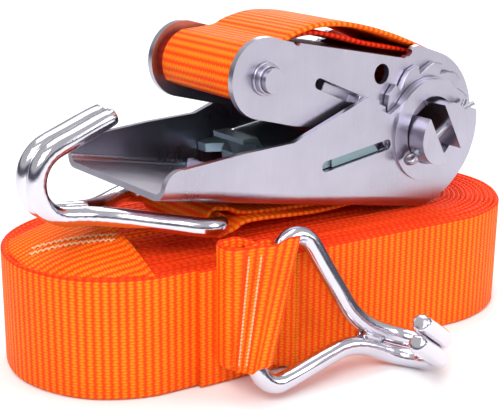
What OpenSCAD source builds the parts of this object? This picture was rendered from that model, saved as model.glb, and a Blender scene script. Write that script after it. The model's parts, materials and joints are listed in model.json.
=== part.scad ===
/* [Webbing] */
// Width of the polyester webbing
web_w = 50; // [45:1:52]
// Thickness of one layer of webbing
web_t = 2.2; // [1.8:0.1:2.4]
// Length of the rolled long strap seen from above
roll_len = 245; // [225:5:255]
// Width of the rolled long strap seen from above
roll_wid = 100; // [90:5:110]
// Angle between the roll and the ratchet, seen from above
roll_yaw = -8; // [-12:1:0]

/* [Ratchet frame] */
// Distance from the anchor bolt to the drum axis
bolt_x = 97; // [94:0.5:100]
// Thickness of the frame plates
plate_t = 2.8; // [2.4:0.1:3]
// Width over the frame plates
frame_wid = 57.6; // [57.2:0.1:57.8]
// Radius of the frame plates round the drum
lobe_r = 34.5; // [33:0.5:35]
// Radius of the frame plates round the anchor bolt
bolt_lobe_r = 16.5; // [16:0.5:17]
// Slope of the line from the anchor bolt down to the drum
frame_pitch = 19.8; // [19:0.1:21]

/* [Handle] */
// Distance from the drum axis to the grip end
handle_len = 141; // [136:1:144]
// Width over the handle walls
handle_wid = 69.8; // [69.6:0.1:70.2]
// Thickness of the handle's sheet steel
handle_t = 2.5; // [2.3:0.1:2.5]
// Distance from the drum axis to the outside of the handle's floor
handle_drop = 37; // [36.5:0.1:37.2]
// Slope of the handle, grip end up
handle_pitch = 11.8; // [11.5:0.1:12]

/* [Drum] */
// Radius over the two half-moon bars
drum_r = 15; // [14.5:0.1:15]
// Gap between the half-moon bars
drum_gap = 10; // [8:0.5:11]
// Length of the half-moon bars
drum_len = 90; // [88:1:94]
// Teeth on each ratchet wheel
teeth = 12; // [12:1:12]
// Radius over the teeth
wheel_r = 29.8; // [29:0.1:30]
// Radius at the bottom of the teeth
root_r = 25.4; // [25:0.1:26]

/* [Hooks] */
// Diameter of the hook wire
wire_d = 8; // [7:0.5:8]
// Length from the base wire to the bend of the J
shank_len = 60; // [58:1:62]
// Radius of the J at the middle of the wire
hook_r = 14.5; // [14:0.5:15]
// Angle that the J turns through
hook_turn = 152; // [146:1:154]
// Straight length at the tip of each J
tip_len = 26; // [24:1:27]

/* [Hidden] */
$fn = 64;

// Colours
orange = "orangered";
zinc = "silver";
steel = "lightsteelblue";
teal = "cadetblue";

// The origin is under the middle of the whole set; the drum axis stands here
drum_x = 63.7;
drum_y = 21.5;
drum_z = 87;

// Frame, in axes that turn with it: the drum axis is the origin and the bolt lies along -X
frame_half = frame_wid / 2;
frame_in = frame_half - plate_t;
drum_hole_r = drum_r + 0.08;
bolt_r = 5;
sleeve_r = 9;
tie_hole = [-33.3, 16.9];
tie_hole_r = 4.5;
floor_a = [-80, 18.4];
floor_b = [-26, 26.1];
lug_x = -79.5;

// Ratchet wheels stand between the frame plates and the handle walls
wheel_t = 3;
wheel_mid = frame_half + 0.3 + wheel_t / 2;
handle_half = handle_wid / 2;
handle_in = handle_half - handle_t;
boss_r = 23;
boss_t = 1.3;
cam_r = 32;

// Both pawls are plates on a radial line; the wheel turns freely past them one way only
pawl_t = 4;
frame_pawl_angle = 176;
tooth_pitch = 360 / teeth;
tooth_lead = asin((pawl_t / 2 + 0.3) / 27.5);
tooth_angle = frame_pawl_angle - frame_pitch + tooth_lead;
handle_pawl_angle = tooth_angle + tooth_pitch - tooth_lead + handle_pitch;
frame_pawl_tip = 26;
frame_pawl_end = 62;
handle_pawl_tip = 30.2;
handle_pawl_end = 80;
ear_t = handle_in - frame_half + 0.3;
pawl_slot_clear = 0.35;
spring_r = 2.8;
spring_wire = 1.1;

// The flats of the drum bars lie along this direction, seen from the near side
slot_angle = 120;
bar_r = 12.5;
bar_offset = drum_r - bar_r;
pin_y = drum_len / 2 - 4.5;
pin_r = 2;

// Doubled webbing of the short strap
ply2 = 2 * web_t + 0.4;
wrap_in = sleeve_r + 0.2;
wrap_mid = wrap_in + ply2 / 2;
bend_r = 31.5;
bend_c = [-3, 1.2];
hook_base = [-109.8, -24.7];
short_hook_pitch = 8.7;

// Hook wire: half width of the base and its corner radius, then the curve into the shank
wire_r = wire_d / 2;
base_half = 30;
corner_r = 9;
shank_half = wire_r + 0.1;
neck_r = 30;
neck_u = shank_len - 5;
loop_in = wire_r + 0.3;
loop_out = loop_in + web_t;
loop_half = 20.8;

// Roll: two round ends joined by straight sides, turned by roll_yaw
roll_x = drum_x - 63.7;
roll_y = drum_y + 2.5;
roll_end = (roll_len - roll_wid) / 2;

// The front hook hangs on the roll's front face, in axes along that face
face_x = drum_x - 107.7;
front_gap = 13.4;
front_z = 37.5;
front_lean = -20.7;
front_tilt = 26.1;
front_swing = 5.5;
fold_x = -21;

function turn(p, a) = [p[0] * cos(a) + p[1] * sin(a), p[1] * cos(a) - p[0] * sin(a)];
function polar(r, a) = [r * cos(a), r * sin(a)];
function arc(c, r, a0, a1, n) = [for (i = [0 : n]) c + polar(r, a0 + (a1 - a0) * i / n)];
function unit(v) = v / norm(v);
function heading(path, i) =
    unit(path[min(i + 1, len(path) - 1)] - path[max(i - 1, 0)]);
function side(path, d) =
    [for (i = [0 : len(path) - 1]) path[i] + d * [-heading(path, i)[1], heading(path, i)[0]]];
function reversed(list) = [for (i = [len(list) - 1 : -1 : 0]) list[i]];

// A strip of constant thickness along a path
module strip(path, t) {
    polygon(concat(side(path, t / 2), reversed(side(path, -t / 2))));
}

// Extrudes an XZ outline along Y, centred on y
module across(y, t) {
    translate([0, y + t / 2, 0])
        rotate([90, 0, 0])
            linear_extrude(t) children();
}

module rod_y(p, y0, y1, r) {
    translate([p[0], y0, p[1]])
        rotate([-90, 0, 0])
            cylinder(h = y1 - y0, r = r);
}

module at_drum() {
    translate([drum_x, drum_y, drum_z]) children();
}

module in_frame() {
    at_drum() rotate([0, frame_pitch, 0]) children();
}

module in_handle() {
    at_drum() rotate([0, handle_pitch, 0]) children();
}

// ---- Frame -------------------------------------------------------------

module frame_outline() {
    difference() {
        union() {
            circle(r = lobe_r, $fn = 96);
            translate([-bolt_x, 0]) circle(r = bolt_lobe_r);
            polygon([[-bolt_x, bolt_lobe_r], [-90, 17], floor_a + [-3, -0.4], floor_b + [4, 0.6],
                [-18, 33], [-15.5, 34.2], [0, lobe_r],
                [0, 0], [-30, -6], [-46, -9.5], [-60, -12.5], [-75, -14.9], [-bolt_x, -bolt_lobe_r]]);
        }
        translate(floor_a + [-5.4, 0.4]) circle(r = 2.4);
        translate([-20.6, 30]) circle(r = 2);
    }
}

module frame() {
    color(zinc) in_frame() difference() {
        union() {
            for (s = [-1, 1]) across(s * (frame_half - plate_t / 2), plate_t) frame_outline();
            across(0, frame_wid - 1)
                polygon([floor_a, floor_b, floor_b - [0, plate_t], floor_a - [0, plate_t]]);
            across(0, 16)
                polygon([[lug_x - 1.2, -3], [lug_x + 1.2, -3], [lug_x + 1.2, 17], [lug_x - 1.2, 17]]);
        }
        rod_y([0, 0], -frame_half - 1, frame_half + 1, drum_hole_r);
        rod_y([-bolt_x, 0], -frame_half - 1, frame_half + 1, bolt_r + 0.05);
        rod_y(tie_hole, -frame_half - 1, frame_half + 1, tie_hole_r);
        for (s = [-1, 1]) across(s * (frame_half - plate_t / 2), plate_t + 1)
            rotate(frame_pawl_angle - 180) pawl_slot(-70, -23.5);
    }
}

// A slot along -X with round ends, for a pawl that slides in it
module pawl_slot(x0, x1) {
    h = pawl_t / 2 + pawl_slot_clear;
    translate([x0 + h, -h]) square([x1 - x0 - 2 * h, 2 * h]);
    for (x = [x0 + h, x1 - h]) translate([x, 0]) circle(r = h);
}

module anchor_bolt() {
    color(zinc) in_frame() translate([-bolt_x, 0, 0]) {
        rod_y([0, 0], -frame_half - 6.2, frame_half, bolt_r - 0.02);
        rod_y([0, 0], frame_half + 1.2, frame_half + 5.6, 7.6);
        rod_y([0, 0], frame_half, frame_half + 1.2, bolt_r - 0.02);
    }
}

module anchor_nut() {
    color(zinc) in_frame() translate([-bolt_x, 0, 0]) difference() {
        rod_y([0, 0], -frame_half - 3.6, -frame_half - 1.2, 6);
        rod_y([0, 0], -frame_half - 5, -frame_half, bolt_r);
    }
}

module anchor_washers() {
    color(zinc) in_frame() translate([-bolt_x, 0, 0])
        for (y = [-frame_half - 1.2, frame_half]) difference() {
            rod_y([0, 0], y, y + 1.2, 6.8);
            rod_y([0, 0], y - 1, y + 2.2, bolt_r);
        }
}

module anchor_sleeve() {
    color(zinc) in_frame() translate([-bolt_x, 0, 0]) difference() {
        rod_y([0, 0], -frame_in, frame_in, sleeve_r);
        rod_y([0, 0], -frame_in - 1, frame_in + 1, bolt_r + 0.3);
    }
}

// Tip of a pawl: deepest on the side that a tooth's steep face meets
module pawl_outline(tip, back) {
    h = pawl_t / 2;
    polygon([[-tip, -h], [-tip - 2.6, h], [-back, h], [-back, -h]]);
}

module frame_pawl() {
    color(zinc) in_frame() rotate([0, 180 - frame_pawl_angle, 0]) {
        across(0, 2 * handle_in - 0.6) pawl_outline(frame_pawl_tip, 46);
        translate([-frame_pawl_end, -frame_in + 0.6, -pawl_t / 2])
            cube([frame_pawl_end - 44, 2 * frame_in - 1.2, pawl_t]);
    }
}

module coil_space(x0, x1) {
    difference() {
        translate([x0, 0, 0]) rotate([0, 90, 0]) cylinder(h = x1 - x0, r = spring_r);
        translate([x0 - 1, 0, 0]) rotate([0, 90, 0])
            cylinder(h = x1 - x0 + 2, r = spring_r - spring_wire);
    }
}

module frame_pawl_spring() {
    color(steel) in_frame() rotate([0, 180 - frame_pawl_angle, 0])
        coil_space(lug_x + 2, -frame_pawl_end - 0.1);
}

// ---- Drum --------------------------------------------------------------

// One half-moon bar, flat side towards the axis
module bar_outline() {
    difference() {
        translate([0, bar_offset]) circle(r = bar_r);
        translate([-20, -20]) square([40, 20 + drum_gap / 2]);
    }
}

module drum_bar() {
    across(0, drum_len) bar_outline();
}

module in_drum() {
    at_drum() rotate([0, -slot_angle, 0]) children();
}

module pin_holes() {
    for (s = [-1, 1]) translate([0, s * pin_y, -20]) cylinder(h = 40, r = pin_r + 0.1);
}

module drum_half_upper() {
    color(zinc) in_drum() difference() {
        mirror([0, 0, 1]) drum_bar();
        pin_holes();
    }
}

module drum_half_lower() {
    color(zinc) in_drum() difference() {
        drum_bar();
        pin_holes();
    }
}

function tooth(a) = [polar(root_r, a + tooth_pitch),
    polar((root_r + wheel_r) / 2 + 0.2, a + tooth_pitch * 0.66),
    polar(wheel_r, a + tooth_pitch * 0.38),
    polar(wheel_r, a + tooth_pitch * 0.18),
    polar(wheel_r, a)];

module ratchet_wheel(s) {
    color(zinc) at_drum() across(s * wheel_mid, wheel_t) difference() {
        polygon([for (k = [0 : teeth - 1], p = tooth(tooth_angle - k * tooth_pitch)) p]);
        rotate(slot_angle) {
            for (m = [0, 1]) mirror([0, m]) bar_outline();
            translate([-9, -drum_gap / 2 - 0.01]) square([18, drum_gap + 0.02]);
        }
    }
}

module ratchet_wheel_near() {
    ratchet_wheel(-1);
}

module ratchet_wheel_far() {
    ratchet_wheel(1);
}

// A split pin: an eye above one bar and two bent legs beyond the other
module cotter_pin(s) {
    color(steel) in_drum() translate([0, s * pin_y, 0]) {
        translate([0, 0, -17]) cylinder(h = 34, r = pin_r);
        translate([0, 0, 19.4]) rotate([0, 90, 0])
            rotate_extrude() translate([2.2, 0]) circle(r = 1.3, $fn = 24);
        for (m = [-1, 1]) translate([0, 0, -16.5])
            rotate([m * 24, 0, 0]) translate([0, 0, -6.5]) cylinder(h = 7, r = 1);
    }
}

module cotter_pin_near() {
    cotter_pin(-1);
}

module cotter_pin_far() {
    cotter_pin(1);
}

// ---- Handle ------------------------------------------------------------

// Side view of the walls: low grip end, a peak before the boss, a cam round the drum
module wall_outline() {
    end_r = 8;
    difference() {
        union() {
            polygon([[-handle_len, -handle_drop], [-handle_len, -31.5],
                [-handle_len + end_r, -23.5], [-105, -16], [-80, -10.4], [-42, 11.4], [-35.5, 10.6],
                [-34.5, 6.8], [-27, 5], [-18, 12],
                [0, 0], [26, -18.6], [20, -26], [12, -32], [1, -handle_drop]]);
            translate([-handle_len + end_r, -31.5]) circle(r = end_r);
            circle(r = boss_r + 0.8);
            intersection() {
                circle(r = cam_r, $fn = 96);
                polygon([[0, 0], [9, 22.1], [17, 17.2], [26, 12], [40, 10], [40, -45], [0, -45]]);
            }
        }
        translate([-200, -handle_drop - 60]) square([400, 60]);
    }
}

// Channel section: a floor with a wall at each edge and rounded corners
module channel_section() {
    bend_o = 6;
    bend_i = bend_o - handle_t;
    difference() {
        channel_blank(handle_half, 0, bend_o);
        channel_blank(handle_in, handle_t, bend_i);
    }
}

module channel_blank(half, up, r) {
    translate([-half, up + r]) square([2 * half, 80]);
    translate([-half + r, up]) square([2 * half - 2 * r, r + 1]);
    for (s = [-1, 1]) translate([s * (half - r), up + r]) circle(r = r);
}

module handle() {
    color(zinc) in_handle() difference() {
        union() {
            intersection() {
                translate([-150, 0, -handle_drop])
                    rotate([90, 0, 90]) linear_extrude(190) channel_section();
                across(0, handle_wid + 2) wall_outline();
            }
            for (s = [-1, 1]) rod_y([0, 0], s * (handle_half + boss_t / 2 - 0.2) - boss_t / 2 - 0.2,
                s * (handle_half + boss_t / 2 - 0.2) + boss_t / 2 + 0.2, boss_r);
            across(0, 16)
                polygon([[-99, -35], [-96.4, -35], [-96.4, -26.5], [-99, -26.5]]);
        }
        translate([-42, -handle_in, -handle_drop - 1]) cube([80, 2 * handle_in, 20]);
        rod_y([0, 0], -handle_half - 5, handle_half + 5, drum_r + 0.4);
        across(0, handle_wid + 8) rotate(handle_pawl_angle - 180) pawl_slot(-65, -24.5);
    }
}

module handle_pawl() {
    color(teal) in_handle() rotate([0, 180 - handle_pawl_angle, 0]) {
        for (s = [-1, 1]) across(s * (frame_half + 0.5 + ear_t / 2), ear_t)
            pawl_outline(handle_pawl_tip, 58);
        difference() {
            across(0, 2 * handle_in - 1)
                polygon([[-40, -pawl_t / 2], [-40, pawl_t / 2], [-handle_pawl_end, pawl_t / 2],
                    [-handle_pawl_end, -pawl_t / 2]]);
            translate([-handle_pawl_end - 4, 10, -5])
                rotate([0, 0, 45]) cube([14, 14, 10]);
        }
        across(-6, 20)
            polygon([[-handle_pawl_end, -pawl_t / 2], [-handle_pawl_end + 3, -pawl_t / 2],
                [-handle_pawl_end + 3, pawl_t / 2], [-handle_pawl_end - 3, 14.5], [-handle_pawl_end - 11, 15.5],
                [-handle_pawl_end - 11, 13.2], [-handle_pawl_end - 5, 12.2]]);
    }
}

module handle_pawl_spring() {
    color(steel) in_handle() rotate([0, 180 - handle_pawl_angle, 0])
        coil_space(-100.2, -handle_pawl_end - 1.9);
}

// ---- Short strap -------------------------------------------------------

// Doubled webbing from the anchor bolt over the outside of the frame's floor
wrap_start = [-bolt_x, 0] + polar(wrap_mid, 120);
rise_end = wrap_start + [16.5, 16.5 * tan(30)];
bow_a = arc(rise_end + [70 * sin(30), -70 * cos(30)], 70, 120, 98, 8);
bow_b = arc(bow_a[8] + [300 * sin(8), -300 * cos(8)], 300, 97, 90.6, 5);
bend_top = bend_c + [0, bend_r];
wrap_path = concat([wrap_start], bow_a, bow_b, [bend_top + [-6, 0], bend_top + [-0.3, 0]]);

// Round the drum end, then back under the handle
bend_mid = turn(bend_c, frame_pitch);
bend_path = arc(bend_mid, bend_r, 90 - frame_pitch, -90, 30);
tail_start = bend_mid + [0, -bend_r];
under_a = turn([-46, -handle_drop - ply2 / 2 - 0.6], handle_pitch);
under_b = turn([-66, -handle_drop - ply2 / 2 - 0.6], handle_pitch);
tail_path = [tail_start, tail_start + [-14, -0.6], under_a + [6, -0.5], under_a, under_b];
ply_off = ply2 / 2 - web_t / 2;
loop_mid = loop_in + web_t / 2;
upper_ply = [under_b + [4, -0.84 + ply_off], under_b + [0, ply_off], hook_base + [4, loop_mid - 0.2],
    hook_base + [0, loop_mid]];
lower_ply = [under_b + [4, -0.84 - ply_off], under_b + [0, -ply_off], hook_base + [5, -loop_mid + 0.6],
    hook_base + [0, -loop_mid]];

module short_strap_wrap() {
    color(orange) in_frame() difference() {
        union() {
            across(0, web_w) strip(wrap_path, ply2);
            rod_y([-bolt_x, 0], -web_w / 2, web_w / 2, wrap_mid + ply2 / 2);
        }
        rod_y([-bolt_x, 0], -web_w / 2 - 1, web_w / 2 + 1, wrap_in);
    }
}

module short_strap_bend() {
    color(orange) at_drum() across(0, web_w) strip(bend_path, ply2);
}

module short_strap_tail() {
    color(orange) at_drum() difference() {
        union() {
            across(0, web_w) strip(tail_path, ply2);
            across(0, 2 * loop_half) strip(upper_ply, web_t);
            across(0, 2 * loop_half) strip(lower_ply, web_t);
            rod_y(hook_base, -loop_half, loop_half, loop_out);
        }
        rod_y(hook_base, -loop_half - 1, loop_half + 1, loop_in);
    }
}

// ---- Hooks -------------------------------------------------------------

// The side wire leaves the corner and meets the neck curve at this angle
side_d = neck_u - corner_r;
side_e = base_half - corner_r - shank_half - neck_r;
side_a = atan2(side_e, side_d) + asin((neck_r + corner_r) / norm([side_d, side_e]));
side_p = [corner_r * (1 + sin(side_a)), base_half - corner_r + corner_r * cos(side_a)];
side_q = [neck_u - neck_r * sin(side_a), shank_half + neck_r - neck_r * cos(side_a)];

// Centre line of half the wire: corner, side, neck, shank, J and tip, as [along, across, up]
function flat(list, z) = [for (p = list) [p[0], p[1], z]];
function upright(list, y) = [for (p = list) [p[0], y, p[1]]];
tip_a = [shank_len, hook_r] + polar(hook_r, hook_turn - 90);
tip_b = tip_a + polar(tip_len, hook_turn);
hook_half_path = concat(
    flat(arc([corner_r, base_half - corner_r], corner_r, 180, 90 - side_a, 7), 0),
    flat(arc([neck_u, shank_half + neck_r], neck_r, 270 - side_a, 270, 5), 0),
    upright(arc([shank_len, hook_r], hook_r, -90, hook_turn - 90, 14), shank_half),
    upright([tip_b, tip_b + polar(1, hook_turn)], shank_half));
hook_path = concat(reversed([for (p = hook_half_path) [p[0], -p[1], p[2]]]), hook_half_path);

// Sections stay square to the wire without twisting
function tangents(path) = [for (i = [0 : len(path) - 1]) heading(path, i)];
function next_normal(n, t) = unit(n - (n * t) * t);
function normals(t, n0) = [for (i = 0, n = next_normal(n0, t[0]); i < len(t);
    i = i + 1, n = i < len(t) ? next_normal(n, t[i]) : n) n];

// Round wire along a path, with its two ends slightly bevelled
module sweep(path, r, sides, bevel) {
    t = tangents(path);
    n = normals(t, [0, 1, 0]);
    last = len(path) - 1;
    rings = [for (i = [0 : last], k = [0 : sides - 1])
        path[i] + (i == 0 || i == last ? r - bevel : r)
            * (cos(360 * k / sides) * n[i] + sin(360 * k / sides) * cross(t[i], n[i]))];
    walls = [for (i = [0 : last - 1], k = [0 : sides - 1])
        [i * sides + k, (i + 1) * sides + k, (i + 1) * sides + (k + 1) % sides, i * sides + (k + 1) % sides]];
    caps = [[for (k = [0 : sides - 1]) k], [for (k = [sides - 1 : -1 : 0]) last * sides + k]];
    polyhedron(rings, concat(walls, caps));
}

module hook() {
    sweep(hook_path, wire_r, 16, 1);
}

module weld() {
    for (s = [-1, 1]) translate([shank_len - 12, 0, s * (wire_r - 1.6)]) rotate([0, 90, 0])
        cylinder(h = 11, r = 1.5, $fn = 24);
}

module at_short_hook() {
    at_drum() translate([hook_base[0], 0, hook_base[1]])
        rotate([0, short_hook_pitch, 0]) rotate([0, 0, 180]) children();
}

module in_face() {
    translate([face_x, roll_y - roll_wid / 2 / cos(roll_yaw) + (face_x - roll_x) * tan(roll_yaw), 0])
        rotate([0, 0, roll_yaw]) translate([0, -front_gap, 0]) children();
}

module in_flap() {
    in_face() translate([0, 0, front_z]) rotate([front_lean, 0, 0]) children();
}

module at_front_hook() {
    in_flap() rotate([0, front_tilt, 0]) rotate([90, 0, front_swing]) children();
}

module short_hook() {
    color(steel) at_short_hook() hook();
}

module short_hook_weld() {
    color(steel) at_short_hook() weld();
}

module front_hook() {
    color(steel) at_front_hook() hook();
}

module front_hook_weld() {
    color(steel) at_front_hook() weld();
}

// ---- Long strap --------------------------------------------------------

module long_strap_roll() {
    color(orange) translate([roll_x, roll_y, 0]) rotate([0, 0, roll_yaw]) linear_extrude(web_w) {
        translate([-roll_end, -roll_wid / 2]) square([2 * roll_end, roll_wid]);
        for (s = [-1, 1]) translate([s * roll_end, 0]) circle(r = roll_wid / 2, $fn = 128);
    }
}

// Sewn loop: folded back at the left, then round the front hook's base wire
module long_strap_loop() {
    fold_r = (front_gap + ply2 / 2) / 2;
    half = web_w / 2;
    lean_x = half * tan(front_tilt);
    color(orange) difference() {
        in_flap() {
            across(0, ply2) polygon([[fold_x, -half], [-lean_x, -half], [lean_x, half], [fold_x, half]]);
            translate([fold_x, fold_r - ply2 / 2, -half]) difference() {
                cylinder(h = web_w, r = fold_r);
                translate([0, 0, -1]) cylinder(h = web_w + 2, r = fold_r - web_t);
                translate([0, -20, -1]) cube([40, 40, web_w + 2]);
            }
            rotate([0, front_tilt, 0]) translate([0, 0, -loop_half])
                cylinder(h = 2 * loop_half, r = loop_out);
        }
        in_flap() rotate([0, front_tilt, 0]) translate([0, 0, -60])
            cylinder(h = 120, r = loop_in + 0.6);
        in_face() translate([-100, front_gap - 0.1, -50]) cube([200, 60, 200]);
    }
}

// Free end of the long strap, laid in a shallow dome over the roll's left end under the short hook
module long_strap_end() {
    dome_r = 110;
    dome_top = 9.6;
    color(orange) translate([roll_x, roll_y, web_w]) rotate([0, 0, roll_yaw])
        translate([-roll_end, 0, 0]) intersection() {
            difference() {
                translate([0, 0, dome_top - dome_r]) sphere(r = dome_r, $fn = 128);
                translate([0, 0, dome_top - dome_r]) sphere(r = dome_r - web_t, $fn = 128);
            }
            translate([-46, -50, 0.1]) cube([web_w - 2, 72, 20]);
        }
}

long_strap_roll();
long_strap_loop();
long_strap_end();
front_hook();
front_hook_weld();
handle();
handle_pawl();
handle_pawl_spring();
short_strap_tail();
short_strap_bend();
short_strap_wrap();
short_hook();
short_hook_weld();
frame();
frame_pawl();
frame_pawl_spring();
anchor_bolt();
anchor_nut();
anchor_washers();
anchor_sleeve();
drum_half_upper();
drum_half_lower();
ratchet_wheel_near();
ratchet_wheel_far();
cotter_pin_near();
cotter_pin_far();
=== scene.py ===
"""Ratchet tie-down set: rolled strap, folded ratchet and two claw hooks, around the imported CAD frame.

Lengths are in metres. Webbing, springs and stitching are made here; the metal parts are the CAD's own.
"""
import json
import math

import bpy
from mathutils import Matrix, Vector


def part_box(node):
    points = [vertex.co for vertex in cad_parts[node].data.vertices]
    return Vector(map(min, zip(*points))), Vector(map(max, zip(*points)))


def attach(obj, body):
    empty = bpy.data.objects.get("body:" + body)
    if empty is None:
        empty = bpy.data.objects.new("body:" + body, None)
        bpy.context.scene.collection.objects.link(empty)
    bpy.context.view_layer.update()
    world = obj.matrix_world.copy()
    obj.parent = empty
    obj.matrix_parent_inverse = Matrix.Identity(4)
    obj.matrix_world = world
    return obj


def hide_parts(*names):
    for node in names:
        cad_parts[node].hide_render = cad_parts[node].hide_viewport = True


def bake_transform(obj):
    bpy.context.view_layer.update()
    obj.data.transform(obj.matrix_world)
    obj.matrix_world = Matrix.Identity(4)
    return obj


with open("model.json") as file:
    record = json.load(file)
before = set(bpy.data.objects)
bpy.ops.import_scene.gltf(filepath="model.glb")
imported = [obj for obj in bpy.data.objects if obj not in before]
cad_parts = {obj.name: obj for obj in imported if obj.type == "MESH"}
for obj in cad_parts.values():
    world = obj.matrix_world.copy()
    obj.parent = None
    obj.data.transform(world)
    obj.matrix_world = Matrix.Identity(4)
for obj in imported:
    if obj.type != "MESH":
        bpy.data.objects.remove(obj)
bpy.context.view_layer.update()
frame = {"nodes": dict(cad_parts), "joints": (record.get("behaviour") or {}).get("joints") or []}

MM = 0.001
JOINT = {j["name"]: j for j in frame["joints"]}
DRUM = Vector(JOINT["drum_spin"]["pos_m"])
HOOK = Vector(JOINT["short_hook_swing"]["pos_m"])
FACE = Vector(JOINT["front_hook_swing"]["pos_m"])
FACE_AXIS = -Vector(JOINT["front_hook_swing"]["axis"])
FRAME_DEGREES = 19.8
FRAME_PITCH = math.radians(FRAME_DEGREES)
HANDLE_PITCH = math.radians(11.8)
ROLL_YAW = math.radians(-8)
VIEW_TURN = math.radians(-39.4)

WEB_W = 0.050
WEB_T = 0.0021


# ---- Materials -----------------------------------------------------------

def new_material(name):
    mat = bpy.data.materials.new(name)
    mat.use_nodes = True
    tree = mat.node_tree
    return mat, tree, tree.nodes["Principled BSDF"]


def node(tree, kind, **values):
    n = tree.nodes.new(kind)
    for key, value in values.items():
        setattr(n, key, value)
    return n


def math_node(tree, operation, a, b=None):
    n = node(tree, "ShaderNodeMath", operation=operation)
    for i, value in enumerate((a, b)):
        if value is None:
            continue
        if isinstance(value, (int, float)):
            n.inputs[i].default_value = value
        else:
            tree.links.new(value, n.inputs[i])
    return n.outputs[0]


def ramp(tree, factor, stops):
    n = node(tree, "ShaderNodeValToRGB")
    elements = n.color_ramp.elements
    while len(elements) < len(stops):
        elements.new(0.5)
    for e, (at, colour) in zip(elements, stops):
        e.position = at
        e.color = (*colour, 1)
    tree.links.new(factor, n.inputs["Fac"])
    return n.outputs["Color"]


def mix_colour(tree, factor, a, b, blend="MIX"):
    n = node(tree, "ShaderNodeMix", data_type="RGBA", blend_type=blend)
    if isinstance(factor, (int, float)):
        n.inputs["Factor"].default_value = factor
    else:
        tree.links.new(factor, n.inputs["Factor"])
    for socket, value in ((n.inputs[6], a), (n.inputs[7], b)):
        if isinstance(value, tuple):
            socket.default_value = (*value, 1)
        else:
            tree.links.new(value, socket)
    return n.outputs[2]


def noise(tree, vector, scale, detail=2.0, rough=0.5):
    n = node(tree, "ShaderNodeTexNoise")
    n.inputs["Scale"].default_value = scale
    n.inputs["Detail"].default_value = detail
    n.inputs["Roughness"].default_value = rough
    tree.links.new(vector, n.inputs["Vector"])
    return n.outputs["Fac"]


def webbing_material(name, float_highlight, base, dark):
    """Woven polyester: ribs across the width made of short raised floats, set off from row to row."""
    mat, tree, bsdf = new_material(name)
    uv = node(tree, "ShaderNodeUVMap", uv_map="strap")
    split = node(tree, "ShaderNodeSeparateXYZ")
    tree.links.new(uv.outputs["UV"], split.inputs[0])
    along, across = split.outputs["X"], split.outputs["Y"]
    rib_pitch, row_pitch = 0.0032, 0.00125
    row = math_node(tree, "DIVIDE", across, row_pitch)
    row_wave = math_node(tree, "SINE", math_node(tree, "MULTIPLY", row, 2 * math.pi))
    half_wave = math_node(tree, "SINE", math_node(tree, "MULTIPLY", row, math.pi))
    shift = math_node(tree, "MULTIPLY", half_wave, 0.05)
    rib = math_node(tree, "ADD", math_node(tree, "DIVIDE", along, rib_pitch), shift)
    rib_wave = math_node(tree, "SINE", math_node(tree, "MULTIPLY", rib, 2 * math.pi))
    rows = math_node(tree, "MULTIPLY", math_node(tree, "ADD", row_wave, 1.0), 0.5)
    ribs = math_node(tree, "MULTIPLY", math_node(tree, "ADD", rib_wave, 1.0), 0.5)
    floats = math_node(tree, "MULTIPLY", rows, ribs)
    height = math_node(tree, "ADD", math_node(tree, "MULTIPLY", floats, 0.65),
                       math_node(tree, "MULTIPLY", ribs, 0.35))
    coords = node(tree, "ShaderNodeTexCoord").outputs["Object"]
    patch = noise(tree, coords, 26.0, 3.0)
    fibre = noise(tree, coords, 2600.0, 2.0)
    # The weave's ribs and floats are real. Colouring them by height paints a highlight on the raised floats
    # and painted shade in the low points between them.
    colour = ramp(tree, height, [(0.05, dark), (0.42, base), (1.0, float_highlight)])
    shade = ramp(tree, patch, [(0.32, (0.95, 0.72, 0.6)), (0.62, (1.0, 1.0, 1.0))])
    colour = mix_colour(tree, 0.75, colour, shade, "MULTIPLY")
    # Painted shade: one edge of each strip is pulled toward deep red. This is the top edge of the roll's
    # layers and the far edge of the short strap.
    selvedge_painted_shade = math_node(tree, "GREATER_THAN", across, WEB_W - 0.0005)
    colour = mix_colour(tree, math_node(tree, "MULTIPLY", selvedge_painted_shade, 0.75), colour, (0.86, 0.014, 0.001))
    tree.links.new(colour, bsdf.inputs["Base Color"])
    rough = math_node(tree, "ADD", math_node(tree, "MULTIPLY", fibre, 0.2), 0.5)
    tree.links.new(rough, bsdf.inputs["Roughness"])
    bsdf.inputs["Sheen Weight"].default_value = 0.02
    bsdf.inputs["Sheen Roughness"].default_value = 0.4
    bsdf.inputs["Sheen Tint"].default_value = (1.0, 0.4, 0.1, 1)
    bsdf.inputs["Specular IOR Level"].default_value = 0.15
    bump = node(tree, "ShaderNodeBump")
    bump.inputs["Strength"].default_value = 0.85
    bump.inputs["Distance"].default_value = 0.0005
    total = math_node(tree, "ADD", height, math_node(tree, "MULTIPLY", fibre, 0.18))
    tree.links.new(total, bump.inputs["Height"])
    tree.links.new(bump.outputs["Normal"], bsdf.inputs["Normal"])
    return mat


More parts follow.
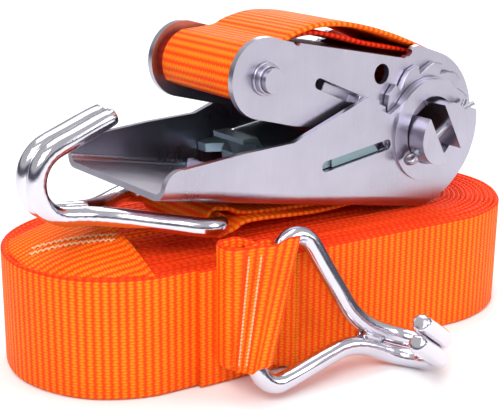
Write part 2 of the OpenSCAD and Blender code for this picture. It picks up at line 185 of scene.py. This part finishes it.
def metal_material(name, colour, rough, scratches, grain=(1, 1, 1), spangle=0.12):
    """Plated steel: faint spangle, fine drawn lines and a few scratches."""
    mat, tree, bsdf = new_material(name)
    coords = node(tree, "ShaderNodeTexCoord").outputs["Object"]
    stretch = node(tree, "ShaderNodeMapping")
    stretch.inputs["Scale"].default_value = grain
    tree.links.new(coords, stretch.inputs["Vector"])
    cloud = noise(tree, coords, 45.0, 4.0)
    lines = noise(tree, stretch.outputs["Vector"], 900.0, 3.0, 0.6)
    fine = noise(tree, coords, 1500.0, 2.0)
    low = tuple(c * (1 - spangle) for c in colour)
    high = tuple(min(1.0, c * (1 + spangle * 0.5)) for c in colour)
    base = ramp(tree, cloud, [(0.3, low), (0.7, high)])
    lines_tone = ramp(tree, lines, [(0.35, (0.9, 0.9, 0.9)), (0.65, (1.0, 1.0, 1.0))])
    base = mix_colour(tree, scratches, base, lines_tone, "MULTIPLY")
    tree.links.new(base, bsdf.inputs["Base Color"])
    bsdf.inputs["Metallic"].default_value = 1.0
    r = math_node(tree, "ADD", math_node(tree, "MULTIPLY", cloud, 0.16), rough - 0.08)
    r = math_node(tree, "ADD", r, math_node(tree, "MULTIPLY", lines, 0.06))
    tree.links.new(r, bsdf.inputs["Roughness"])
    bump = node(tree, "ShaderNodeBump")
    bump.inputs["Strength"].default_value = 0.18
    bump.inputs["Distance"].default_value = 0.0002
    total = math_node(tree, "ADD", math_node(tree, "MULTIPLY", lines, scratches),
                      math_node(tree, "MULTIPLY", fine, 0.3))
    total = math_node(tree, "ADD", total, math_node(tree, "MULTIPLY", cloud, 1.2))
    tree.links.new(total, bump.inputs["Height"])
    tree.links.new(bump.outputs["Normal"], bsdf.inputs["Normal"])
    return mat


def thread_material(name, colour):
    mat, tree, bsdf = new_material(name)
    coords = node(tree, "ShaderNodeTexCoord").outputs["Object"]
    twist = noise(tree, coords, 1800.0, 2.0)
    dark = tuple(c * 0.7 for c in colour)
    tree.links.new(ramp(tree, twist, [(0.35, dark), (0.65, colour)]), bsdf.inputs["Base Color"])
    bsdf.inputs["Roughness"].default_value = 0.55
    bsdf.inputs["Sheen Weight"].default_value = 0.3
    bump = node(tree, "ShaderNodeBump")
    bump.inputs["Strength"].default_value = 0.4
    bump.inputs["Distance"].default_value = 0.0001
    tree.links.new(twist, bump.inputs["Height"])
    tree.links.new(bump.outputs["Normal"], bsdf.inputs["Normal"])
    return mat


# Light, mid and dark oranges for the weave: the light one is a painted highlight on the raised floats, and
# the dark one is painted shade between them.
WEB = webbing_material("webbing", (1.0, 0.31, 0.006), (1.0, 0.18, 0.003), (0.95, 0.06, 0.001))
# Painted shade: a darker red copy of the webbing for the wrap's inner ply, which lies in shade under the
# outer ply on the far side.
WEB_INNER_SHADED = webbing_material("webbing_inner_shaded", (1.0, 0.08, 0.003), (0.9, 0.022, 0.001),
                             (0.5, 0.006, 0.001))
ZINC = metal_material("zinc", (0.47, 0.45, 0.53), 0.27, 0.35, (1, 1, 0.06))
CHROME = metal_material("chrome", (0.70, 0.685, 0.76), 0.11, 0.2, spangle=0.08)
# Painted shade: a darker, blue-grey copy of the plated metal for the handle's pawl, whose plate sits in
# shade inside the handle's channel.
ZINC_SHADED = metal_material("teal", (0.24, 0.33, 0.36), 0.36, 0.4, (0.1, 1, 1))
DARK = metal_material("dark", (0.36, 0.35, 0.40), 0.3, 0.4)
THREAD = thread_material("thread_pale", (1.0, 0.60, 0.28))


# ---- Mesh helpers --------------------------------------------------------

def add_mesh(name, verts, faces, mat, body):
    """A smooth-shaded mesh that rides body, or rides nothing yet where body is None."""
    mesh = bpy.data.meshes.new(name)
    mesh.from_pydata([tuple(v) for v in verts], [], faces)
    mesh.validate()
    mesh.update()
    obj = bpy.data.objects.new(name, mesh)
    bpy.context.scene.collection.objects.link(obj)
    mesh.materials.append(mat)
    mesh.polygons.foreach_set("use_smooth", [True] * len(mesh.polygons))
    if body:
        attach(obj, body)
    return obj


def tangent(path, i):
    return (path[min(i + 1, len(path) - 1)] - path[max(i - 1, 0)]).normalized()


def ribbon(name, path, across, width, body, mat=None, thick=WEB_T, lift=None, sheared=False):
    """A webbing strip along path, with rounded selvedges.

    across is its width direction, one for all points or a list with one each. A sheared strip keeps
    that direction as it is; any other is squared to the path. lift moves each point along it.
    """
    half, h, edge = width / 2, thick / 2, 0.0009
    profile = [(-half + edge, -h), (-half * 0.5, -h), (0, -h), (half * 0.5, -h), (half - edge, -h),
               (half, -h * 0.45), (half, h * 0.45),
               (half - edge, h), (half * 0.5, h), (0, h), (-half * 0.5, h), (-half + edge, h),
               (-half, h * 0.45), (-half, -h * 0.45)]
    verts, lengths, total = [], [], 0.0
    for i, p in enumerate(path):
        if i:
            total += (p - path[i - 1]).length
        lengths.append(total)
        t = tangent(path, i)
        a = across[i] if isinstance(across, list) else across
        if not sheared:
            a = (a - t * a.dot(t)).normalized()
        n = t.cross(a).normalized()
        up = lift[i] if lift else 0.0
        verts += [p + a * (q + up) + n * r for q, r in profile]
    count, last = len(profile), len(path) - 1
    faces = []
    for i in range(last):
        for k in range(count):
            here, beside = i * count + k, i * count + (k + 1) % count
            faces.append((here, beside, beside + count, here + count))
    faces += [tuple(range(count - 1, -1, -1)), tuple(last * count + k for k in range(count))]
    obj = add_mesh(name, verts, faces, mat or WEB, body)
    layer = obj.data.uv_layers.new(name="strap")
    for loop in obj.data.loops:
        i, k = divmod(loop.vertex_index, count)
        q, r = profile[k]
        layer.data[loop.index].uv = (lengths[i], q + half + (0.0003 if r > 0 else 0.0))
    return obj


def tube(verts, faces, path, radius, sides=6):
    """Adds a capped tube along path to verts and faces."""
    start = len(verts)
    side = Vector((0.3, 0.5, 0.8))
    for i, p in enumerate(path):
        t = tangent(path, i)
        a = t.cross(side).normalized()
        b = t.cross(a)
        r = radius * (0.55 if i in (0, len(path) - 1) else 1.0)
        for k in range(sides):
            angle = 2 * math.pi * k / sides
            verts.append(p + a * (r * math.cos(angle)) + b * (r * math.sin(angle)))
    last = len(path) - 1
    for i in range(last):
        for k in range(sides):
            a, b = start + i * sides + k, start + i * sides + (k + 1) % sides
            faces.append((a, b, b + sides, a + sides))
    faces.append(tuple(start + k for k in range(sides - 1, -1, -1)))
    faces.append(tuple(start + last * sides + k for k in range(sides)))


def stitches(name, lines, body, mat, radius=0.00035):
    """Rows of thread. Each line is a list of (point, normal) pairs; each pair of points holds one stitch."""
    verts, faces = [], []
    for line in lines:
        for (p, n), (q, m) in zip(line, line[1:]):
            a, b = p.lerp(q, 0.06), p.lerp(q, 0.94)
            sink, top = radius * 0.9, radius * 0.75
            tube(verts, faces, [a - n * sink, a + n * top * 0.7, p.lerp(q, 0.5) + (n + m) * top * 0.5,
                                b + m * top * 0.7, b - m * sink], radius)
    return add_mesh(name, verts, faces, mat, body)


def turn_y(x, z, angle):
    """World offset from the drum axis of a point given in axes turned by angle about +Y."""
    c, s = math.cos(angle), math.sin(angle)
    return Vector((x * c + z * s, 0, -x * s + z * c))


def in_frame(x, z):
    return DRUM + turn_y(x * MM, z * MM, FRAME_PITCH)


def in_handle(x, z):
    return DRUM + turn_y(x * MM, z * MM, HANDLE_PITCH)


def smooth_path(points, step=0.0015):
    """A Catmull-Rom curve through points, resampled at an even step."""
    pts = [points[0] * 2 - points[1], *points, points[-1] * 2 - points[-2]]
    fine = []
    for i in range(1, len(pts) - 2):
        p0, p1, p2, p3 = pts[i - 1:i + 3]
        for k in range(24):
            t = k / 24
            fine.append(0.5 * ((2 * p1) + (p2 - p0) * t + (2 * p0 - 5 * p1 + 4 * p2 - p3) * t * t
                               + (3 * p1 - p0 - 3 * p2 + p3) * t * t * t))
    fine.append(points[-1])
    out, gone = [fine[0]], 0.0
    for a, b in zip(fine, fine[1:]):
        gone += (b - a).length
        if gone >= step:
            out.append(b)
            gone = 0.0
    if (out[-1] - fine[-1]).length > step * 0.3:
        out.append(fine[-1])
    return out


# ---- Rolled long strap -----------------------------------------------------

roll_low, roll_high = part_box("long_strap_roll")
ROLL_MID = (roll_low + roll_high) / 2
ROLL_END = 0.0725
ROLL_R = 0.050
PITCH = 0.0022
TO_ROLL = Matrix.Translation((ROLL_MID.x, ROLL_MID.y, 0)) @ Matrix.Rotation(ROLL_YAW, 4, "Z")


def roll_point(x, y, z):
    return TO_ROLL @ Vector((x, y, z))


def spiral(turns, start_x):
    """Outermost layer first, from start_x along the near side, in the roll's own axes."""
    points, lifts = [], []
    steps_arc, steps_side = 30, 12
    for turn in range(turns):
        for part in range(4):
            steps = steps_arc if part in (1, 3) else steps_side
            for k in range(steps):
                f = k / steps
                done = turn + (part * 0.25 + f * 0.25)
                r = ROLL_R - PITCH / 2 - PITCH * done
                r += 0.00012 * math.sin(9.0 * f * math.pi + part * 1.7)
                if r < PITCH * 0.7:
                    return points, lifts
                if part == 0:
                    x = start_x if turn == 0 else -ROLL_END
                    p = (x + (ROLL_END - x) * f, -r)
                elif part == 1:
                    a = -math.pi / 2 + math.pi * f
                    p = (ROLL_END + r * math.cos(a), r * math.sin(a))
                elif part == 2:
                    p = (ROLL_END - 2 * ROLL_END * f, r)
                else:
                    a = math.pi / 2 + math.pi * f
                    p = (-ROLL_END + r * math.cos(a), r * math.sin(a))
                points.append(roll_point(p[0], p[1], WEB_W / 2))
                lifts.append(0.0006 + 0.0005 * math.sin(turn * 2.4) * math.cos(part * 0.9 + f * 1.3 + turn))
    return points, lifts


FACE_X = (TO_ROLL.inverted() @ FACE).x
FOLD_X = FACE_X - 0.025
roll_path, roll_lift = spiral(24, FOLD_X + 0.002)
roll = ribbon("long_strap_roll_webbing", roll_path, Vector((0, 0, 1)), WEB_W, "long_strap",
              thick=0.0020, lift=roll_lift)
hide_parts("long_strap_roll")

# Sewn loop: from the roll's face, round the fold, to the hook's base wire and back
WIRE_R = 0.004
LEAN = math.radians(-20.7)
gap = -(TO_ROLL.inverted() @ FACE).y - ROLL_R
TO_FLAP = Matrix.Translation(FACE) @ Matrix.Rotation(ROLL_YAW, 4, "Z") @ Matrix.Rotation(LEAN, 4, "X")
tilt = math.acos(FACE_AXIS.dot(TO_FLAP.to_3x3() @ Vector((0, 0, 1))))


def face_point(x, out, z):
    return roll_point(FACE_X + x, -ROLL_R - out, z)


def flap_lean(x):
    """0 where the loop stands upright at its fold, 1 at the hook's wire."""
    return max(0.0, min(1.0, (x + 0.020) / 0.019))


def flap_across(x):
    return Vector((0, 0, 1)).lerp(FACE_AXIS / math.cos(tilt) * 0.95, flap_lean(x))


loop_r = WIRE_R + 0.0003 + WEB_T / 2
ply = WEB_T / 2 + 0.0001
fold_mid = (gap + ply) / 2
loop_path, loop_across = [], []
for x, z in ((0.020, 0.0255), (0.010, 0.0290), (0.0, 0.0345), (-0.008, FACE.z), (-0.012, FACE.z)):
    loop_path.append(face_point(x, WEB_T / 2 + 0.0004, z))
    loop_across.append(Vector((0, 0, 1)))
for a in range(15, 166, 15):
    x = -0.0135 - 0.0045 * math.sin(math.radians(a)) ** 0.7
    out = fold_mid - (fold_mid - WEB_T / 2 - 0.0004) * math.cos(math.radians(a))
    loop_path.append(face_point(x, out, FACE.z))
    loop_across.append(Vector((0, 0, 1)))
for x, out in ((-0.0135, gap + ply + 0.0002), (-0.011, gap + ply + 0.0005), (-0.008, gap + 0.0030),
               (-0.005, gap + 0.0045)):
    loop_path.append(face_point(x, out, FACE.z))
    loop_across.append(flap_across(x))
for a in range(-12, 193, 17):
    c, s = math.cos(math.radians(a)), math.sin(math.radians(a))
    loop_path.append(TO_FLAP @ Vector((loop_r * s / math.cos(tilt), -loop_r * c, 0)))
    loop_across.append(flap_across(0))
for x, out in ((-0.006, gap - 0.0035), (-0.0095, gap - ply - 0.0008), (-0.0135, gap - ply)):
    loop_path.append(face_point(x, out, FACE.z))
    loop_across.append(flap_across(x))
rough_path, rough_across = loop_path, loop_across
loop_path = smooth_path(rough_path, 0.0008)
loop_across = []
for p in loop_path:
    near = sorted(range(len(rough_path)), key=lambda i: (rough_path[i] - p).length)[:2]
    d = [(rough_path[i] - p).length + 1e-6 for i in near]
    loop_across.append((rough_across[near[0]] * d[1] + rough_across[near[1]] * d[0]) / (d[0] + d[1]))
flap = ribbon("front_flap", loop_path, loop_across, WEB_W, "long_strap", sheared=True)
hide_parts("long_strap_loop")

sew = []
out_dir = TO_ROLL.to_3x3() @ Vector((0, -1, 0))
for column, rise in ((-0.0132, gap + ply + 0.0003), (-0.0095, gap + ply + 0.0016)):
    line = []
    middle = face_point(column, rise + WEB_T / 2 + 0.0001, FACE.z)
    for k in range(31):
        line.append((middle + flap_across(column) * (WEB_W * 0.86 * (k / 30 - 0.5)), out_dir))
    sew.append(line)
flap_stitches = stitches("front_flap_stitches", sew, "long_strap", THREAD, 0.00042)

# Free end, laid over the roll's left end in a shallow dome, its near edge tucked inside the rim
DOME_R, DOME_TOP = 0.110, 0.0096
RIM_R = 0.0462
END_W, END_LEFT, END_REACH = 0.0405, -0.0448, 0.022


def dome_z(x, y):
    r2 = x * x + y * y
    return WEB_W + DOME_TOP - DOME_R + math.sqrt(DOME_R * DOME_R - r2) - WEB_T / 2


def end_point(i, j, columns, rows):
    x = END_LEFT + (END_W - 0.0012) * i / columns
    reach = math.sqrt(max(0.0, RIM_R ** 2 - x * x))
    y = -reach + (min(END_REACH, reach) + reach) * j / rows
    z = dome_z(x, y)
    edge = max(0.0, (i / columns - 0.9) / 0.1)
    wave = 0.0005 * math.sin(i / columns * 5.0 + 0.6) * math.sin(min(1.0, j / rows * 2.4) * math.pi)
    return Vector((x - ROLL_END, y, z + edge * edge * 0.0012 + wave + 0.0003))


columns, rows = 28, 36
verts = [roll_point(*end_point(i, j, columns, rows))
         for j in range(rows + 1) for i in range(columns + 1)]
width = columns + 1
faces = [(j * width + i, j * width + i + 1, (j + 1) * width + i + 1, (j + 1) * width + i)
         for j in range(rows) for i in range(columns)]
end = add_mesh("long_strap_free_end", verts, faces, WEB, "long_strap")
layer = end.data.uv_layers.new(name="strap")
for loop in end.data.loops:
    j, i = divmod(loop.vertex_index, width)
    p = TO_ROLL.inverted() @ verts[loop.vertex_index]
    layer.data[loop.index].uv = (p.y + 0.1, END_W * i / columns)
solid = end.modifiers.new("thickness", "SOLIDIFY")
solid.thickness = WEB_T
solid.offset = 0
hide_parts("long_strap_end")


def end_row(shift, zig):
    """A slanting zigzag row on the free end; shift sets it over from the first row."""
    line = []
    count = 30
    for k in range(count + 1):
        f = k / count
        across = shift + (zig if k % 2 else -zig)
        x, y = -0.0380 + 0.0300 * f - 0.55 * across, -0.0010 - 0.0150 * f - 0.83 * across
        n = (TO_ROLL.to_3x3() @ Vector((x, y, DOME_R))).normalized()
        line.append((roll_point(x - ROLL_END, y, dome_z(x, y) + WEB_T / 2 + 0.0005), n))
    return line


end_sew = [end_row(0.0, 0.0008), end_row(0.0042, 0.0008)]
end_stitches = stitches("free_end_stitches", end_sew, "long_strap", THREAD, 0.0004)


# ---- Short strap -----------------------------------------------------------

Y = Vector((0, 1, 0))

# Millimetres from here to FAR and NEAR, which set the layers over to the far and the near side
T = WEB_T / MM
BOLT_X = -97
SLEEVE_R = 9.2
SAG_FROM, SAG_SPAN = 89.5, 91.0
BEND_C = (-3.0, 1.2)
BEND_R = 31.5
FAR, NEAR = 2.4, -1.0


def arc_points(cx, cz, r, a0, a1, n):
    return [(cx + r * math.cos(math.radians(a0 + (a1 - a0) * k / n)),
             cz + r * math.sin(math.radians(a0 + (a1 - a0) * k / n))) for k in range(n + 1)]


def wrap_ply(inner, start_angle):
    """One layer from under the bolt, round it, over the frame's floor to the drum."""
    r = SLEEVE_R + (0.5 if inner else 1.5) * T + (0.05 if inner else 0.4)
    off = (-0.5 if inner else 0.5) * (T + 0.15)
    ring = arc_points(BOLT_X, 0, r, start_angle, 122, 22)
    over = [(-89.5, 15.6), (-85.5, 18.9), (-80, 22.6), (-73, 26.3), (-64, 29.3), (-53, 31.6),
            (-40, 32.9), (-27, 33.4), (-14, 33.2), (-5, 32.8), (1.5, 32.3)]
    sag = 4.2 if inner else 0.0
    over = [(x, z + off - sag * math.sin(math.pi * (x + SAG_FROM) / SAG_SPAN) ** 2) for x, z in over]
    return [in_frame(x, z) for x, z in ring + over]


def bend_ply(inner):
    """One layer round the drum, from the frame's floor to below the handle."""
    off = (-0.5 if inner else 0.5) * (T + 0.15)
    c = turn_y(BEND_C[0] * MM, BEND_C[1] * MM, FRAME_PITCH)
    pts = arc_points(c.x / MM, c.z / MM, BEND_R + off, 90 - FRAME_DEGREES, -90, 26)
    return [DRUM + Vector((x * MM, 0, z * MM)) for x, z in pts]


def tail_ply(inner):
    """From under the drum to the hook's base wire, one layer above it and one below."""
    off = (0.5 if inner else -0.5) * (T + 0.15)
    c = turn_y(BEND_C[0] * MM, BEND_C[1] * MM, FRAME_PITCH)
    x0, z0 = c.x / MM, c.z / MM - BEND_R
    hx, hz = (HOOK - DRUM).x / MM, (HOOK - DRUM).z / MM
    side = 1 if inner else -1
    r = 4.3 + T / 2
    mid = in_handle(-52, -40.0) - DRUM
    pts = [(x0, z0 + off), (x0 - 14, z0 - 0.6 + off), (x0 - 28, z0 + 0.4 + off),
           (mid.x / MM, mid.z / MM + off), (hx + 16, hz - 0.6 + off * 1.1), (hx + 7, hz + side * (r - 1.4))]
    pts += [(hx + r * math.cos(math.radians(a)), hz + side * r * math.sin(math.radians(a)))
            for a in range(60, 181, 20)]
    return [DRUM + Vector((x * MM, 0, z * MM)) for x, z in pts]


def short_ply(name, points, body, shift, mat):
    path = smooth_path([p + Y * (shift * MM) for p in points], 0.0012)
    obj = ribbon(name, path, Y, WEB_W - 0.002, body, mat=mat)
    return obj, path


wrap_outer, wrap_outer_path = short_ply("short_strap_wrap_outer", wrap_ply(False, 232), "frame",
                                        NEAR, WEB)
# The inner ply takes the darker copy of the webbing as painted shade.
wrap_inner, wrap_inner_path = short_ply("short_strap_wrap_inner", wrap_ply(True, 300), "frame",
                                        FAR, WEB_INNER_SHADED)
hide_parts("short_strap_wrap")
tail_low, tail_low_path = short_ply("short_strap_tail_lower", tail_ply(False), "handle", NEAR, WEB)
tail_up, tail_up_path = short_ply("short_strap_tail_upper", tail_ply(True), "handle", FAR, WEB)
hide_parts("short_strap_tail")

for name, inner, shift in (("short_strap_bend_outer", False, NEAR), ("short_strap_bend_inner", True, FAR)):
    obj, path = short_ply(name, bend_ply(inner), None, shift, WEB)
    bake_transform(obj)
    if not inner:
        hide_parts("short_strap_bend")


# ---- Springs -------------------------------------------------------------

HANDLE_PAWL_PITCH, FRAME_PAWL_PITCH = -6.2, 23.8
COIL_R, COIL_WIRE = 0.0023, 0.0005


def coil(name, a, b, turns, node_name):
    """A helical compression spring from a to b with a closed turn at each end."""
    axis = (b - a).normalized()
    u = axis.cross(Y).normalized()
    v = axis.cross(u)
    path = []
    count = turns * 18
    for k in range(count + 1):
        f = k / count
        s = min(1.0, max(0.0, (f - 0.08) / 0.84))
        angle = 2 * math.pi * turns * f
        centre = a + axis * ((b - a).length * (0.04 + 0.92 * s))
        path.append(centre + (u * math.cos(angle) + v * math.sin(angle)) * COIL_R)
    verts, faces = [], []
    tube(verts, faces, path, COIL_WIRE, 8)
    obj = add_mesh(name, verts, faces, DARK, None)
    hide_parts(node_name)
    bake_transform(obj)


def pawl_axis_point(pitch, x):
    return DRUM + turn_y(-x * MM, 0, math.radians(pitch))


coil("handle_pawl_coil", pawl_axis_point(HANDLE_PAWL_PITCH, 80.3),
     pawl_axis_point(HANDLE_PAWL_PITCH, 100.0), 9, "handle_pawl_spring")
coil("frame_pawl_coil", pawl_axis_point(FRAME_PAWL_PITCH, 62.3),
     pawl_axis_point(FRAME_PAWL_PITCH, 77.3), 7, "frame_pawl_spring")


# ---- CAD metal parts -------------------------------------------------------

SURFACE = {
    "front_hook": CHROME, "short_hook": CHROME, "front_hook_weld": CHROME, "short_hook_weld": CHROME,
    # The handle's pawl takes the darker blue-grey metal as painted shade.
    "handle_pawl": ZINC_SHADED, "cotter_pin_near": DARK, "cotter_pin_far": DARK,
}
SOFT = {"long_strap_roll", "long_strap_loop", "long_strap_end", "short_strap_tail", "short_strap_bend",
        "short_strap_wrap", "handle_pawl_spring", "frame_pawl_spring"}
for name, obj in frame["nodes"].items():
    if name in SOFT:
        continue
    mat = SURFACE.get(name, ZINC)
    obj.data.materials.clear()
    obj.data.materials.append(mat)
    obj.data.polygons.foreach_set("use_smooth", [True] * len(obj.data.polygons))
    weld = obj.modifiers.new("merge", "WELD")
    weld.merge_threshold = 0.000002
    if "hook" in name:
        round_it = obj.modifiers.new("round", "SUBSURF")
        round_it.levels = round_it.render_levels = 1
    else:
        bevel = obj.modifiers.new("edges", "BEVEL")
        bevel.width = 0.00035
        bevel.segments = 2
        bevel.limit_method = "ANGLE"
        bevel.angle_limit = math.radians(32)
        bevel.use_clamp_overlap = True
        normals = obj.modifiers.new("normals", "WEIGHTED_NORMAL")
        normals.mode = "FACE_AREA"
        normals.weight = 100


# ---- Stage, light and camera -----------------------------------------------

def stage_plane():
    """A pale floor that curves up into a backdrop, with a dark band across it for the metal to reflect."""
    verts, faces = [], []
    cove_from, cove_r = 2.8, 0.8
    profile = [(-4.0, 0.0), (cove_from, 0.0)]
    for a in range(10, 91, 10):
        c, s = math.cos(math.radians(a)), math.sin(math.radians(a))
        profile.append((cove_from + cove_r * s, cove_r - cove_r * c))
    profile += [(cove_from + cove_r, 4.0)]
    for depth, z in profile:
        for side in (-5.0, 5.0):
            verts.append(Matrix.Rotation(VIEW_TURN, 3, "Z") @ Vector((side, depth, z)))
    for i in range(len(profile) - 1):
        faces.append((2 * i, 2 * i + 1, 2 * i + 3, 2 * i + 2))
    mesh = bpy.data.meshes.new("floor")
    mesh.from_pydata([tuple(v) for v in verts], [], faces)
    obj = bpy.data.objects.new("floor", mesh)
    bpy.context.scene.collection.objects.link(obj)
    mat, tree, bsdf = new_material("floor")
    coords = node(tree, "ShaderNodeTexCoord").outputs["Object"]
    tone = ramp(tree, noise(tree, coords, 3.0), [(0.3, (0.93, 0.93, 0.93)), (0.7, (0.95, 0.95, 0.95))])
    split = node(tree, "ShaderNodeSeparateXYZ")
    tree.links.new(coords, split.inputs[0])
    height = math_node(tree, "MULTIPLY", split.outputs["Z"], 0.5)
    shade = ramp(tree, height, [(0.005, (1.0, 1.0, 1.0)), (0.045, (0.12, 0.115, 0.13)),
                                (0.35, (0.15, 0.15, 0.17)), (0.6, (1.0, 1.0, 1.0))])
    tone = mix_colour(tree, 1.0, tone, shade, "MULTIPLY")
    tree.links.new(tone, bsdf.inputs["Base Color"])
    bsdf.inputs["Roughness"].default_value = 0.9
    mesh.materials.append(mat)
    mesh.polygons.foreach_set("use_smooth", [True] * len(mesh.polygons))


def area_light(name, place, aim, size, power, colour=(1, 1, 1)):
    data = bpy.data.lights.new(name, "AREA")
    data.shape = "RECTANGLE"
    data.size, data.size_y = size
    data.energy = power
    data.color = colour
    obj = bpy.data.objects.new(name, data)
    obj.location = place
    obj.rotation_euler = (Vector(aim) - Vector(place)).to_track_quat("-Z", "Y").to_euler()
    bpy.context.scene.collection.objects.link(obj)


stage_plane()
area_light("key", (-0.9, -0.7, 1.1), (0, 0, 0.05), (0.9, 0.7), 15)
area_light("fill", (0.7, -1.1, 0.7), (0, 0, 0.06), (0.8, 0.6), 6, (1.0, 0.98, 1.0))
area_light("top", (0.1, 0.3, 1.3), (0, 0, 0.05), (1.2, 1.0), 8)
area_light("rim", (0.9, 0.9, 0.6), (0, 0, 0.08), (0.5, 0.8), 5)

world = bpy.data.worlds.new("studio")
bpy.context.scene.world = world
world.use_nodes = True
tree = world.node_tree
background = tree.nodes["Background"]
direction = node(tree, "ShaderNodeTexCoord").outputs["Generated"]
split = node(tree, "ShaderNodeSeparateXYZ")
tree.links.new(direction, split.inputs[0])
height = math_node(tree, "MULTIPLY", math_node(tree, "ADD", split.outputs["Z"], 1.0), 0.5)
sky = ramp(tree, height, [(0.0, (0.9, 0.9, 0.92)), (0.47, (0.75, 0.75, 0.8)), (0.53, (0.16, 0.15, 0.2)),
                          (0.60, (0.2, 0.19, 0.25)), (0.66, (1.0, 1.0, 1.0)), (1.0, (1.0, 1.0, 1.0))])
tree.links.new(sky, background.inputs["Color"])
background.inputs["Strength"].default_value = 0.6

camera_data = bpy.data.cameras.new("camera")
camera_data.sensor_width = 36
camera_data.lens = 84.7
camera_data.clip_end = 20
camera = bpy.data.objects.new("camera", camera_data)
camera.location = DRUM + Vector((-0.3871, -0.3804, 0.1245))
look_down, roll_over = math.radians(17.6), math.radians(0.6)
camera.matrix_world = (Matrix.Translation(camera.location) @ Matrix.Rotation(VIEW_TURN, 4, "Z")
                       @ Matrix.Rotation(math.pi / 2 - look_down, 4, "X")
                       @ Matrix.Rotation(roll_over, 4, "Z"))
bpy.context.scene.collection.objects.link(camera)
bpy.context.scene.camera = camera
bpy.context.scene.view_settings.view_transform = "Standard"
bpy.context.scene.view_settings.look = "None"
bpy.context.scene.view_settings.exposure = 0.0
